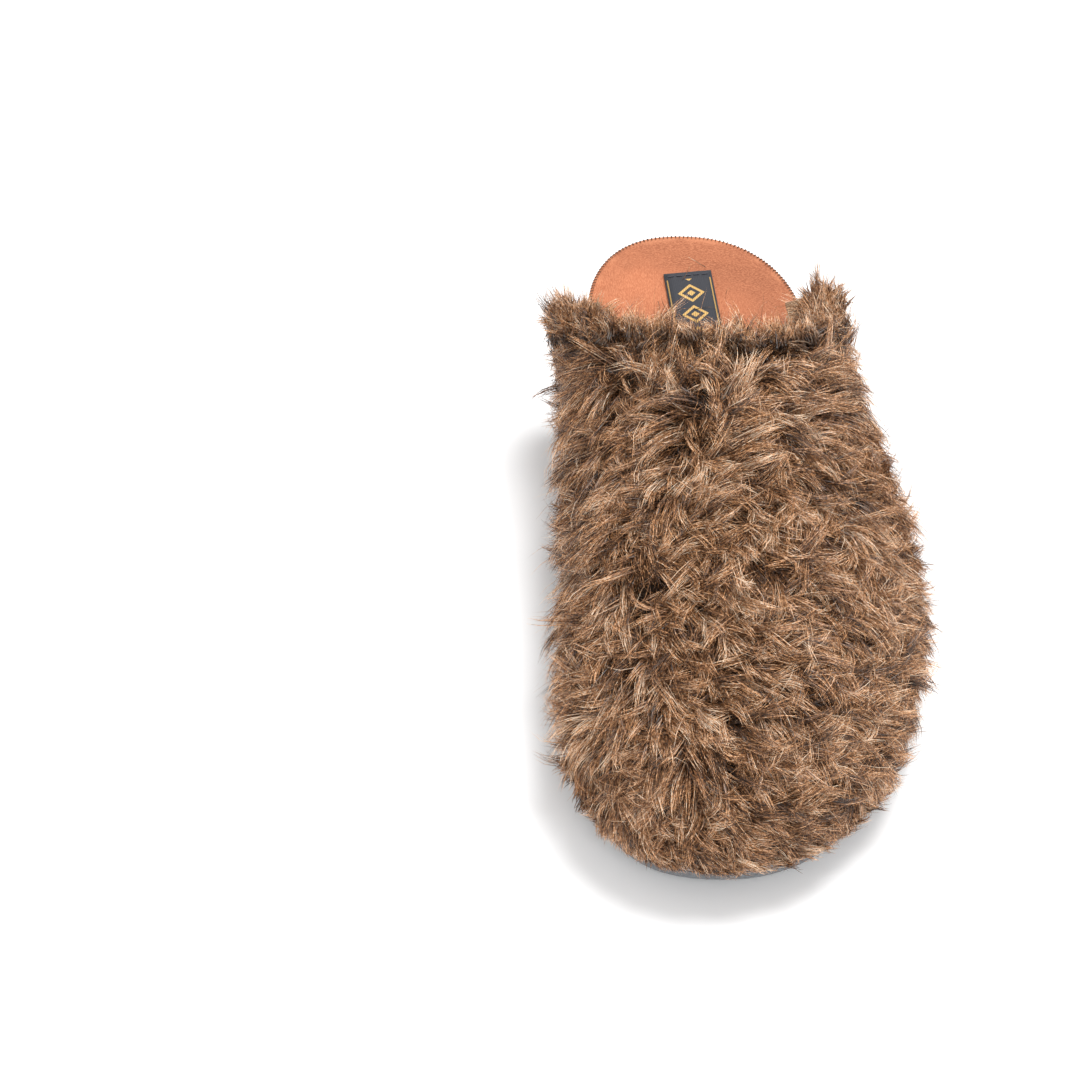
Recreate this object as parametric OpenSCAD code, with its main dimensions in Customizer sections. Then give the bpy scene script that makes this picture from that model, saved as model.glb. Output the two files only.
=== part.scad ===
// Fluffy house slipper: an open-backed mule for the left foot, in millimetres.
// The toe points along -Y, the little-toe side is +X and the sole stands on Z = 0.
// The parts are worked out in a local frame with the heel end at Y = 0,
// then the whole slipper is moved so that X = Y = 0 is the middle of its outline.

/* [Outline] */
// length of the sole, heel end to toe end
sole_l = 266; // [222:1:320]
// width of the sole across the ball of the foot
ball_w = 101; // [84:1:122]
// width of the sole across the heel
heel_w = 73; // [60:1:88]
// how far the heel end leans towards the big-toe side
heel_shift = 5; // [0:0.5:7]
// how far the ball sits towards the little toe
ball_shift = 12.5; // [6:0.5:16]
// how far the inner edge is hollowed at the arch
waist_in = 2.5; // [0:0.5:8]
// how far the tip of the toe sits towards the little toe
toe_shift = 5; // [-2:0.5:10]

/* [Sole] */
// thickness of the outsole
outsole_t = 4.5; // [3:0.5:8]
// thickness of the wedge under the heel
wedge_heel_t = 10.5; // [6:0.5:20]
// thickness of the wedge under the toes
wedge_toe_t = 5.5; // [3:0.5:14]
// how high the tip of the sole curls off the floor
toe_spring = 6; // [2:0.5:12]
// depth of the tread grooves
tread_depth = 1.4; // [0.6:0.1:2.2]
// distance from one tread groove to the next
tread_pitch = 12; // [9:0.5:20]
// width of a tread groove
tread_w = 3.2; // [2:0.1:5]

/* [Footbed] */
// thickness of the insole board
board_t = 1.8; // [1:0.1:3]
// thickness of the foam footbed
foam_t = 6; // [3:0.5:12]
// how much the rim of the heel cup stands above its middle
cup_rise = 2.6; // [0:0.2:5]
// how much the foam swells under the arch
arch_rise = 4; // [0:0.5:8]
// thickness of the suede cover
suede_t = 1.3; // [0.8:0.1:2.5]
// distance between two stitches of the edge seam
edge_pitch = 2.6; // [2:0.1:5]

/* [Upper] */
// heel end to the middle of the throat
throat_s = 108; // [92:1:135]
// heel end to the rear ends of the side wings
wing_s = 66; // [50:1:84]
// height of the throat above the feather edge, inside
instep_h = 60; // [48:1:74]
// height of the wing ends above the feather edge, inside
wing_h = 43; // [30:1:52]
// how far the wings lean in over the footbed
wing_lean = 4; // [1:0.5:8]
// how far the rear end of the inner wing flares out instead
wing_flare = 3; // [-2:0.5:5]
// lower is a rounder toe box, higher a squarer one
toe_fullness = 2.45; // [1.8:0.05:2.8]
// height of the toe box as a share of a full dome
toe_sag = 0.8; // [0.6:0.02:1]
// thickness of the lining
lining_t = 2; // [1:0.1:4]
// thickness of the foam between lining and fur
padding_t = 2.8; // [1:0.1:5]
// thickness of the toe puff and the side stiffeners
stiffener_t = 0.9; // [0.5:0.1:2]
// thickness of the fur, backing and pile together
fur_t = 10; // [5:0.5:14]
// how far the fur hangs down over the edge of the sole
fringe_drop = 1.5; // [0.5:0.5:8]
// width of the fur backing turned in under the board
turn_in = 11; // [7:0.5:15]

/* [Topline binding] */
// thickness of the binding
binding_t = 0.9; // [0.5:0.1:1.6]
// distance between two stitches of the binding
binding_pitch = 5; // [3:0.5:8]

/* [Label] */
// width of the woven label
label_w = 16; // [10:0.5:22]
// length of the woven label
label_l = 40; // [24:1:46]
// heel end of the footbed to the near edge of the label
label_s = 17; // [10:1:24]
// thickness of the label
label_t = 0.6; // [0.4:0.1:1]
// how far the label is turned from straight
label_turn = 7; // [-12:1:12]

/* [Hidden] */

gap = 0.05;             // clearance between two glued faces
margin_t = 1;           // thickness of the turned-in fur backing
side_gap = 0.3;         // clearance between the hanging fur and the sole
binding_gap = 0.25;     // clearance between the binding and what it covers
thread = 0.45;          // thickness of the sewing thread
heel_round = 45;        // length over which the heel rounds off
medial_round = 60;      // length over which the big-toe corner rounds off
lateral_round = 90;     // length over which the little-toe corner rounds off
heel_s = 40;            // heel end to the widest part of the heel
waist_s = 105;          // heel end to the arch
ball_s = 186;           // heel end to the ball of the foot
spring_s = 186;         // heel end to where the sole starts to curl up
ring_heel = 12;         // steps round each half of the heel, up to the wings
rib_n = 44;             // steps along the upper, wing to wing
rib_m = 12;             // steps up the upper, feather edge to topline
step = 0.01;            // step of the slopes

// the layers of the upper, measured outwards from the foot
padding_in = lining_t + gap;
stiffener_in = padding_in + padding_t + gap;
fur_in = stiffener_in + stiffener_t + gap;
// the pile is pressed thinner where the fur is pulled in over the edge of the sole
function fur_at(v) = fur_in + fur_t * mix(0.42, 1, ease(v / 0.22));
// the foot side of the upper lies this far inside the edge of the sole
inset_ref = fur_in - side_gap - 0.2;

function mix(a, b, t) = a + (b - a) * t;
function clamp(t) = min(1, max(0, t));
function ease(t) = let (c = clamp(t)) c * c * (3 - 2 * c);
function round_off(t, n) = pow(max(0, 1 - pow(clamp(t), n)), 1 / n);
function unit(v) = v / max(1e-9, norm(v));
function flat(v) = [v[0], v[1], 0];

// ---- outline of the sole: s runs from the heel end to the toe end ----

function heel_cap(s) = round_off((heel_round - s) / heel_round, 2.25);
function inner_edge(s) = s < waist_s
    ? mix(heel_w / 2, heel_w / 2 - waist_in, ease((s - heel_s) / (waist_s - heel_s)))
    : mix(heel_w / 2 - waist_in, ball_w / 2 - ball_shift,
        ease((s - waist_s) / (ball_s - waist_s)));
function outer_edge(s) = mix(heel_w / 2, ball_w / 2 + ball_shift,
    ease((s - heel_s) / (ball_s + 6 - heel_s)));
function heel_x(s) = -heel_shift * pow(1 - clamp(s / heel_round), 1.35);
function medial_x(s) = let (w = inner_edge(s) * heel_cap(s))
    heel_x(s) + toe_shift - (toe_shift + w)
    * round_off((s - sole_l + medial_round) / medial_round, 2.5);
function lateral_x(s) = let (w = outer_edge(s) * heel_cap(s))
    heel_x(s) + toe_shift + (w - toe_shift)
    * round_off((s - sole_l + lateral_round) / lateral_round, 2.1);

function s_at(a) = sole_l / 2 * (1 - cos(a));
function a_at(s) = acos(1 - 2 * clamp(s / sole_l));
// a runs 0 at the heel end, 180 at the toe end, 360 back at the heel end
function edge_at(a) = let (s = s_at(a))
    [a <= 180 ? tip_x(medial_x(s), s) : tip_x(lateral_x(s), s), -s, 0];
// both sides meet in one point at each end
function tip_x(x, s) = s <= 0 ? -heel_shift : s >= sole_l ? toe_shift : x;
function edge_out(a) = let (t = edge_at(min(360, a + 1.6)) - edge_at(max(0, a - 1.6)))
    a < 1.6 || a > 358.4 ? [0, 1, 0] : unit([t[1], -t[0], 0]);
function inset_at(a, d) = edge_at(a) - edge_out(a) * d;

// ---- heights ----

function rise(s) = toe_spring * pow(clamp((s - spring_s) / (sole_l - spring_s)), 2);
function wedge_t(s) = mix(wedge_heel_t, wedge_toe_t, ease((s - 50) / (ball_s - 50)));
function bed(s) = rise(s) + outsole_t + wedge_t(s);
function feather_z(s) = bed(s) + margin_t + gap;
function board_top(s) = feather_z(s) + gap + board_t;

// ---- the inner face of the upper: q = -1 inner wing, 0 toe tip, +1 outer wing ----

a_wing = a_at(wing_s);
function a_of(q) = 180 + q * (180 - a_wing);
function q_of(a) = (a - 180) / (180 - a_wing);
function foot(q) = let (p = inset_at(a_of(q), inset_ref))
    [p[0], p[1], feather_z(-p[1])];
function throat_at(q) = throat_s
    - (throat_s - wing_s) * pow(1 - cos(90 * q), 1.15);
function top(q) = let (
    s = throat_at(q),
    m = medial_x(s) + inset_ref
        + mix(wing_lean, -wing_flare, ease((-q - 0.4) / 0.6)),
    l = lateral_x(s) - inset_ref - wing_lean)
    [mix(m, l, (1 + sin(90 * q)) / 2), -s,
        feather_z(s) + mix(wing_h, instep_h, pow(cos(90 * q), 1.25))];
function turn(q) = 87 - 55 * ease(abs(q));
function power() = 2 / toe_fullness;
function along(q, v) = (1 - pow(cos(turn(q) * v), power()))
    / (1 - pow(cos(turn(q)), power()));
function up(q, v) = pow(sin(turn(q) * v), power()) / pow(sin(turn(q)), power())
    * mix(mix(toe_sag, 1, pow(abs(q), 3)), 1, along(q, v));
function rib(q, v) = let (f = foot(q), t = top(q), a = along(q, v), b = up(q, v))
    [mix(f[0], t[0], a), mix(f[1], t[1], a), mix(f[2], t[2], b)];
function out_of(q, v) = let (
    du = rib(min(1, q + step), v) - rib(max(-1, q - step), v),
    dv = rib(q, min(1, v + step)) - rib(q, max(0, v - step)))
    unit(cross(du, dv));
function layer(q, v, d) = rib(q, v) + out_of(q, v) * d;
// away from the upper at its open edge, h further on: up from the topline,
// back from the wing ends and both at the corner between them
function beyond(q, v, d, h) = layer(q, v, d)
    + (v < 1 ? [0, 0, 0] : unit(rib(q, 1) - rib(q, 1 - step)) * h)
    + (abs(q) < 1 ? [0, 0, 0] : unit(rib(q, v) - rib(q - sign(q) * step, v)) * h);
// how far the upper has leaned in over the board at height h
function lean(a, h) = let (q = q_of(a)) abs(q) >= 1 ? 0 : let (
    f = foot(q), t = top(q), w = mix(toe_sag, 1, pow(abs(q), 3)),
    part = clamp(h / ((t[2] - f[2]) * w)),
    v = asin(sin(turn(q)) * pow(part, 1 / power())) / turn(q))
    along(q, v) * norm(flat(t - f));

// ---- edge of what lies inside the upper, at height h over the feather edge ----

function in_upper(s) = ease((s - wing_s + 9) / 7);
function bed_inset(a, heel, h) = mix(heel, inset_ref + 0.4 + lean(a, h),
    in_upper(s_at(a)));

// ---- solids ----

// angles round one outline: under the upper they are those of its ribs
half_ring = concat(
    [for (i = [0 : ring_heel - 1]) a_at(wing_s - 9) * i / ring_heel],
    [for (s = [9, 6, 4, 2]) a_at(wing_s - s)],
    [for (i = [0 : rib_n / 2]) a_wing + (180 - a_wing) * i * 2 / rib_n]);
half_n = len(half_ring);
ring_a = concat(half_ring, [for (i = [half_n - 2 : -1 : 1]) 360 - half_ring[i]]);

// rings of points, each the same way round, from the lowest to the highest;
// the lowest bands, under in number, are cut along their other diagonal
module loft(rings, under = 0) {
    n = len(rings[0]);
    m = len(rings);
    h = n / 2;
    pts = [for (r = rings) each r];
    sides = [for (k = [0 : m - 2], i = [0 : n - 1])
        let (j = (i + 1) % n, a = k * n, b = k * n + n)
        each k < under ? [[a + i, a + j, b + i], [a + j, b + j, b + i]]
            : [[a + i, a + j, b + j], [a + i, b + j, b + i]]];
    lid = [[0, 1, n - 1], [h - 1, h, h + 1],
        for (i = [1 : h - 2]) each [[i, i + 1, n - i - 1], [i, n - i - 1, n - i]]];
    solid(pts, concat(sides,
        [for (t = lid) [t[0], t[1], t[2]] + [1, 1, 1] * (m - 1) * n],
        [for (t = lid) [t[0], t[2], t[1]]]));
}

// two sheets of points, the face near the foot and the face away from it
module skin(inner, outer) {
    r = len(inner);
    c = len(inner[0]);
    b = r * c;
    pts = concat([for (row = inner) each row], [for (row = outer) each row]);
    faces = [for (i = [0 : r - 2], k = [0 : c - 2])
        let (p = i * c + k, q = p + c)
        each [[b + p, b + q, b + q + 1], [b + p, b + q + 1, b + p + 1],
            [p, q + 1, q], [p, p + 1, q + 1]]];
    foots = [for (i = [0 : r - 2]) let (p = i * c, q = p + c)
        each [[b + p, q, b + q], [b + p, p, q]]];
    tops = [for (i = [0 : r - 2]) let (p = i * c + c - 1, q = p + c)
        each [[b + p, b + q, q], [b + p, q, p]]];
    starts = [for (k = [0 : c - 2]) let (p = k)
        each [[b + p, p + 1, p], [b + p, b + p + 1, p + 1]]];
    ends = [for (k = [0 : c - 2]) let (p = (r - 1) * c + k)
        each [[b + p, p, p + 1], [b + p, p + 1, b + p + 1]]];
    solid(pts, concat(faces, foots, tops, starts, ends));
}

// leaves out triangles with two corners in one place
module solid(pts, tris) {
    polyhedron(points = pts, faces = [for (t = tris)
        if (pts[t[0]] != pts[t[1]] && pts[t[1]] != pts[t[2]] && pts[t[2]] != pts[t[0]])
            [t[0], t[2], t[1]]], convexity = 8);
}

function rib_q(i) = -1 + 2 * i / rib_n;

// a piece of the upper between two ribs, two heights and two depths
module patch(qs, vs, d0, d1) {
    skin([for (q = qs) [for (v = vs) layer(q, v, d0)]],
        [for (q = qs) [for (v = vs) layer(q, v, d1)]]);
}

// the same, on the steps that every layer of the upper shares
module ply(i0, i1, k0, k1, d0, d1) {
    patch([for (i = [i0 : i1]) rib_q(i)], [for (k = [k0 : k1]) k / rib_m], d0, d1);
}

// ---- middle of the outline, found from the fur and the sole ----

fur_face = [for (i = [0 : rib_n], k = [0 : rib_m])
    layer(rib_q(i), k / rib_m, fur_at(k / rib_m))];
fur_x = [for (p = fur_face) p[0]];
fur_y = [for (p = fur_face) p[1]];
mid_x = (max(fur_x) + min(fur_x)) / 2;
mid_y = (0 + min(fur_y)) / 2;

module place() {
    translate([-mid_x, -mid_y, 0]) children();
}

// ---- sole ----

groove_s = [for (s = [24 : tread_pitch : sole_l - 26]) s];
tread_s = concat([0, 1, 3, 6.5, 11, 17],
    [for (s = groove_s) each [s, s + 0.5, s + tread_w - 0.5, s + tread_w]],
    [for (t = [15, 9.5, 5.5, 2.5, 0.7, 0]) sole_l - t]);
function in_groove(s) = len([for (g = groove_s)
    if (s > g + 0.25 && s < g + tread_w - 0.25) g]) > 0;
tread_a = [for (s = tread_s) a_at(s)];
tread_n = len(tread_a);
tread_ring = concat(tread_a, [for (i = [1 : tread_n - 2]) 360 - tread_a[tread_n - 1 - i]]);
function sole_ring(d, z) = [for (a = tread_ring) let (p = inset_at(a, d), s = s_at(a))
    [p[0], p[1], rise(s) + z + (z == 0 && in_groove(s) ? tread_depth : 0)]];

module outsole() {
    color("dimgray") place()
        loft([sole_ring(1.2, 0), sole_ring(0.2, tread_depth + 0.8),
            sole_ring(0, outsole_t)]);
}

function wedge_ring(d, t) = [for (a = ring_a)
    let (p = inset_at(a, d), s = s_at(a))
    [p[0], p[1], rise(s) + outsole_t + mix(gap, wedge_t(s), t)]];

module midsole_wedge() {
    color("gray") place()
        loft([wedge_ring(0.3, 0), wedge_ring(0, 0.18), wedge_ring(0, 0.82),
            wedge_ring(0.3, 1)]);
}

function sheet_ring(heel, in, z) = [for (a = ring_a)
    let (p = inset_at(a, mix(heel, in, in_upper(s_at(a)))))
    [p[0], p[1], bed(-p[1]) + z]];

board_in = inset_ref + 0.3;

module bottom_filler() {
    inside = inset_ref + turn_in + 0.4;
    color("darkkhaki") place()
        loft([sheet_ring(2, inside, gap),
            sheet_ring(2, inside, margin_t)]);
}

module insole_board() {
    color("tan") place()
        loft([sheet_ring(1.2, board_in, margin_t + gap),
            sheet_ring(1.2, board_in + lean(180, board_t),
                margin_t + gap + board_t)]);
}

// ---- footbed ----

bed_h = board_t + foam_t + cup_rise + suede_t + 4 * gap;
function spine(s) = let (c = min(sole_l - 42, max(34, s)))
    [(medial_x(c) + lateral_x(c)) / 2, -c, 0];
function bed_xy(a, r) = let (e = inset_at(a, bed_inset(a, 0.4, bed_h)), c = spine(-e[1]))
    [mix(c[0], e[0], r), mix(c[1], e[1], r), 0];
function arch(a, r) = a > 180 ? 0 : arch_rise * ease(r / 0.8)
    * ease(1 - abs(s_at(a) - waist_s) / 52);
function cup(s, r) = cup_rise * pow(r, 3.2) * (1 - 0.8 * ease((s - 60) / 70));
function foam_z(a, r) = let (s = -bed_xy(a, r)[1]) board_top(s) + gap + foam_t
    + cup(s_at(a), r) + arch(a, r) - 0.9 * pow(r, 14);
bed_rings = [1, 0.95, 0.86, 0.7, 0.5, 0.3];
function bed_ring(r, z) = [for (a = ring_a) let (p = bed_xy(a, r))
    [p[0], p[1], foam_z(a, r) + z]];

module footbed_foam() {
    color("ivory") place()
        loft(concat(
            [[for (a = ring_a) let (p = bed_xy(a, 1))
                [p[0], p[1], board_top(-p[1]) + gap]]],
            [for (r = bed_rings) bed_ring(r, 0)]));
}

module footbed_cover() {
    color("sandybrown") place()
        loft(concat(
            [for (i = [len(bed_rings) - 1 : -1 : 0]) bed_ring(bed_rings[i], gap)],
            [for (r = bed_rings) bed_ring(r, gap + suede_t)]), under = len(bed_rings) - 1);
}

// one stitch over the edge of the suede: along its top, then down its side
function seam_at(a, r, z) = let (p = bed_xy(a, r)) [p[0], p[1], foam_z(a, min(1, r)) + z];
function edge_len() = 2 * wing_s + 0.55 * heel_w;
seam_n = floor(edge_len() / edge_pitch);
seam_end = a_at(wing_s - 14);
// where a stitch lies, even steps round the heel
function seam_a(i) = let (t = -1 + 2 * (i + 0.5) / seam_n)
    sign(t) * seam_end * pow(abs(t), 0.9);

module footbed_edge_stitching() {
    color("saddlebrown") place()
        for (i = [0 : seam_n - 1]) {
            a = (seam_a(i) + 360) % 360;
            across = unit([-edge_out(a)[1], edge_out(a)[0], 0]) * thread / 2;
            out = edge_out(a);
            rim = seam_at(a, 1, gap + suede_t);
            inner = seam_at(a, 0.93, gap + suede_t + 0.12);
            low = rim + out * 0.12 - [0, 0, suede_t - 0.2];
            lift = [0, 0, thread];
            line = [inner + [0, 0, 0.12], rim + out * 0.12 + [0, 0, 0.14], low];
            face = [inner + [0, 0, 0.12] + lift, rim + out * (0.12 + thread) + lift,
                low + out * thread];
            skin([[for (p = line) p + across], [for (p = line) p - across]],
                [[for (p = face) p + across], [for (p = face) p - across]]);
        }
}

// ---- label ----

label_x = -0.2;
label_lift = 0.5;
label_y = -label_s - label_l / 2;
// height of the suede on the middle line of the heel cup
function suede_mid(s) = let (a = a_at(s)) board_top(s) + gap + foam_t + gap + suede_t
    + cup(s, 0.3);

// a point x across and y along the label from its middle
function on_label(x, y, lift) = let (
    px = label_x + x * cos(label_turn) - y * sin(label_turn),
    py = label_y + x * sin(label_turn) + y * cos(label_turn))
    [px, py, suede_mid(-py) + lift];

module label_patch(x0, x1, y0, y1, n, lift, t) {
    ys = [for (i = [0 : n]) mix(y0, y1, i / n)];
    skin([for (y = ys) [for (x = [x0, x1]) on_label(x, y, lift)]],
        [for (y = ys) [for (x = [x0, x1]) on_label(x, y, lift + t)]]);
}

module woven_label() {
    color("darkslategray") place()
        label_patch(-label_w / 2, label_w / 2, label_l / 2, -label_l / 2, 10,
            label_lift, label_t);
}

module label_stitching() {
    n = 5;
    color("midnightblue") place()
        for (end = [-1, 1], i = [0 : n - 1]) {
            y = end * (label_l / 2 - 1.6);
            x = (i - (n - 1) / 2) * label_w / (n + 0.6);
            w = label_w / (n + 3) / 2;
            label_patch(x - w, x + w, y + thread / 2, y - thread / 2, 1,
                label_lift + label_t + 0.08, 0.3);
        }
}

// ---- upper ----

module upper_lining() {
    color("cornsilk") place() ply(0, rib_n, 0, rib_m, 0, lining_t);
}

module upper_padding() {
    color("khaki") place()
        ply(1, rib_n - 1, 0, rib_m, padding_in, padding_in + padding_t);
}

module toe_puff() {
    color("slategray") place()
        ply(13, rib_n - 13, 0, 5, stiffener_in, stiffener_in + stiffener_t);
}

module medial_stiffener() {
    color("slategray") place()
        ply(1, 8, 1, rib_m - 1, stiffener_in, stiffener_in + stiffener_t);
}

module lateral_stiffener() {
    color("slategray") place()
        ply(rib_n - 8, rib_n - 1, 1, rib_m - 1, stiffener_in, stiffener_in + stiffener_t);
}

// points on the underside of the fur, d outside the foot face of the upper
function under(q, d, z) = let (p = inset_at(a_of(q), inset_ref - d), s = -p[1])
    [p[0], p[1], bed(s) + z];

module fur_upper() {
    side = inset_ref + side_gap;
    qs = [for (i = [0 : rib_n]) rib_q(i)];
    vs = [for (k = [0 : rib_m]) k / rib_m];
    color("sienna") place() skin(
        [for (q = qs) let (c = layer(q, 0, fur_in) - [0, 0, gap])
            concat([under(q, -turn_in, margin_t)], [c, c, c],
                [for (v = vs) v == 0 ? c : layer(q, v, fur_in)])],
        [for (q = qs)
            concat([under(q, -turn_in, 3 * gap), under(q, side, 3 * gap),
                under(q, side, -fringe_drop), under(q, side + fur_t * 0.3, -fringe_drop)],
                [for (v = vs) layer(q, v, fur_at(v))])]);
}

// the bound edge: up the inner wing end, along the topline, down the outer wing end
bound_from = 3;
bound_edge = concat([for (k = [bound_from : rib_m - 1]) [-1, k / rib_m]],
    [for (i = [0 : rib_n]) [rib_q(i), 1]],
    [for (k = [rib_m - 1 : -1 : bound_from]) [1, k / rib_m]]);
leg_q = 0.0175;         // width of the inner leg at the wing ends, as a share of a side
leg_v = 0.07;           // and along the topline, as a share of a rib
// a point on the inner face, part of the leg's width in from the edge
function on_leg(e, part, d) = layer(abs(e[0]) < 1 ? e[0] : e[0] * (1 - leg_q * part),
    e[1] < 1 ? e[1] : 1 - leg_v * part, d);

module topline_binding() {
    edge = stiffener_in + stiffener_t;
    face = binding_gap + binding_t;
    color("peru") place() skin(
        [for (e = bound_edge) [on_leg(e, 1, -face), beyond(e[0], e[1], -face, face),
            beyond(e[0], e[1], edge, face)]],
        [for (e = bound_edge) [on_leg(e, 1, -binding_gap),
            beyond(e[0], e[1], -binding_gap, binding_gap),
            beyond(e[0], e[1], edge, binding_gap)]]);
}

module binding_stitching() {
    span = norm(top(1) - top(0)) + norm(top(-1) - top(0));
    n = floor(span * 1.12 / binding_pitch);
    wing_n = floor(norm(rib(1, 0.92) - rib(1, 0.3)) / binding_pitch);
    out = -binding_gap - binding_t - 4 * gap;
    color("wheat") place() {
        for (i = [0 : n - 1]) {
            q = -1 + 2 * (i + 0.5) / n;
            patch([q - 0.5 / n, q + 0.5 / n], [0.945, 0.953], out - thread, out);
        }
        for (side = [-1, 1], i = [0 : wing_n - 1]) {
            v = mix(0.3, 0.92, (i + 0.5) / wing_n);
            q = side * (1 - 0.7 * leg_q);
            patch([q - 0.001, q + 0.001], [v - 0.15 / wing_n, v + 0.15 / wing_n],
                out - thread, out);
        }
    }
}

outsole();
midsole_wedge();
bottom_filler();
insole_board();
footbed_foam();
footbed_cover();
footbed_edge_stitching();
woven_label();
label_stitching();
upper_lining();
upper_padding();
toe_puff();
medial_stiffener();
lateral_stiffener();
fur_upper();
topline_binding();
binding_stitching();
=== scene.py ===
from math import cos, pi, radians, sin

import bmesh
import bpy
import numpy as np
from mathutils import Matrix, Vector, noise
from mathutils.bvhtree import BVHTree


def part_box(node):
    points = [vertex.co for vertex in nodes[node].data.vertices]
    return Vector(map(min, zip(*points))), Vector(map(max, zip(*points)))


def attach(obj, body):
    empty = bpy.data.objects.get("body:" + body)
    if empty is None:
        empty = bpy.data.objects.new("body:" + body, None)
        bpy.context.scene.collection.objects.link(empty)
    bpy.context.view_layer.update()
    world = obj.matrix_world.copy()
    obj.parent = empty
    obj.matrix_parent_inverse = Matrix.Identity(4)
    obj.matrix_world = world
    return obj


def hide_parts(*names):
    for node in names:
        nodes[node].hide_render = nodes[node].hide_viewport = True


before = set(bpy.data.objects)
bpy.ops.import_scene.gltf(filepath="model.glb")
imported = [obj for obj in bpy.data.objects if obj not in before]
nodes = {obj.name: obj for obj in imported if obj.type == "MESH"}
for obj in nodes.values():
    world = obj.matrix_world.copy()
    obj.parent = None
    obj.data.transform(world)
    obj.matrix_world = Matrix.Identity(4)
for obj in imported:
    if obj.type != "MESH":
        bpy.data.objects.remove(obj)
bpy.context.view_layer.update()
mm = 0.001
joinDistance = 0.002 * mm


# ---- camera, floor and light ----

view = {
    "target": (-63.0 * mm, -7.5 * mm, 30 * mm),
    "elevation": 47.0,
    "distance": 2.0,
    "lens": 208.2,
}
studio = {
    "floorColour": (0.96, 0.96, 0.963),
    "overhead": {"at": (0.32, 0.22, 1.5), "size": 0.8, "power": 21.0},
    "front": {"at": (0.2, -1.7, 1.4), "size": 1.3, "power": 17.0},
    "sky": 0.74,
    "floorSize": 4,
}


def addCamera():
    data = bpy.data.cameras.new("camera")
    data.lens = view["lens"]
    data.clip_start, data.clip_end = 0.05, 50
    camera = bpy.data.objects.new("camera", data)
    bpy.context.scene.collection.objects.link(camera)
    tilt = radians(view["elevation"])
    away = Vector((0, -cos(tilt), sin(tilt)))
    camera.location = Vector(view["target"]) + away * view["distance"]
    camera.rotation_euler = (-away).to_track_quat("-Z", "Y").to_euler()
    bpy.context.scene.camera = camera


def addLight(name, spec):
    data = bpy.data.lights.new(name, "AREA")
    data.shape = "DISK"
    data.size = spec["size"]
    data.energy = spec["power"]
    lamp = bpy.data.objects.new(name, data)
    bpy.context.scene.collection.objects.link(lamp)
    lamp.location = spec["at"]
    lamp.rotation_euler = (-Vector(spec["at"])).to_track_quat("-Z", "Y").to_euler()


def addSky():
    world = bpy.data.worlds.new("studio")
    bpy.context.scene.world = world
    world.use_nodes = True
    background = world.node_tree.nodes["Background"]
    background.inputs["Strength"].default_value = studio["sky"]
    background.inputs["Color"].default_value = (1, 1, 1, 1)


def addFloor():
    bm = bmesh.new()
    bmesh.ops.create_grid(bm, x_segments=2, y_segments=2, size=studio["floorSize"])
    mesh = bpy.data.meshes.new("floor")
    bm.to_mesh(mesh)
    bm.free()
    floor = bpy.data.objects.new("floor", mesh)
    bpy.context.scene.collection.objects.link(floor)
    mesh.materials.append(Paint("floor").finish(Base_Color=studio["floorColour"],
                                                Roughness=0.9))


# ---- materials ----

class Link:
    # a node's output socket that can be used in sums
    def __init__(self, paint, socket):
        self.paint, self.socket = paint, socket

    def sum(self, operation, a, b):
        return self.paint.node("ShaderNodeMath", {"operation": operation}, {0: a, 1: b})

    def __add__(self, other):
        return self.sum("ADD", self, other)

    def __sub__(self, other):
        return self.sum("SUBTRACT", self, other)

    def __rsub__(self, other):
        return self.sum("SUBTRACT", other, self)

    def __mul__(self, other):
        return self.sum("MULTIPLY", self, other)

    def absolute(self):
        return self.sum("ABSOLUTE", self, 0.0)

    def lessThan(self, other):
        return self.sum("LESS_THAN", self, other)

    def pingPong(self, size):
        return self.sum("PINGPONG", self, size)

    def clamped(self):
        return self.sum("MINIMUM", self, 1.0)

    __radd__ = __add__
    __rmul__ = __mul__


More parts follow.
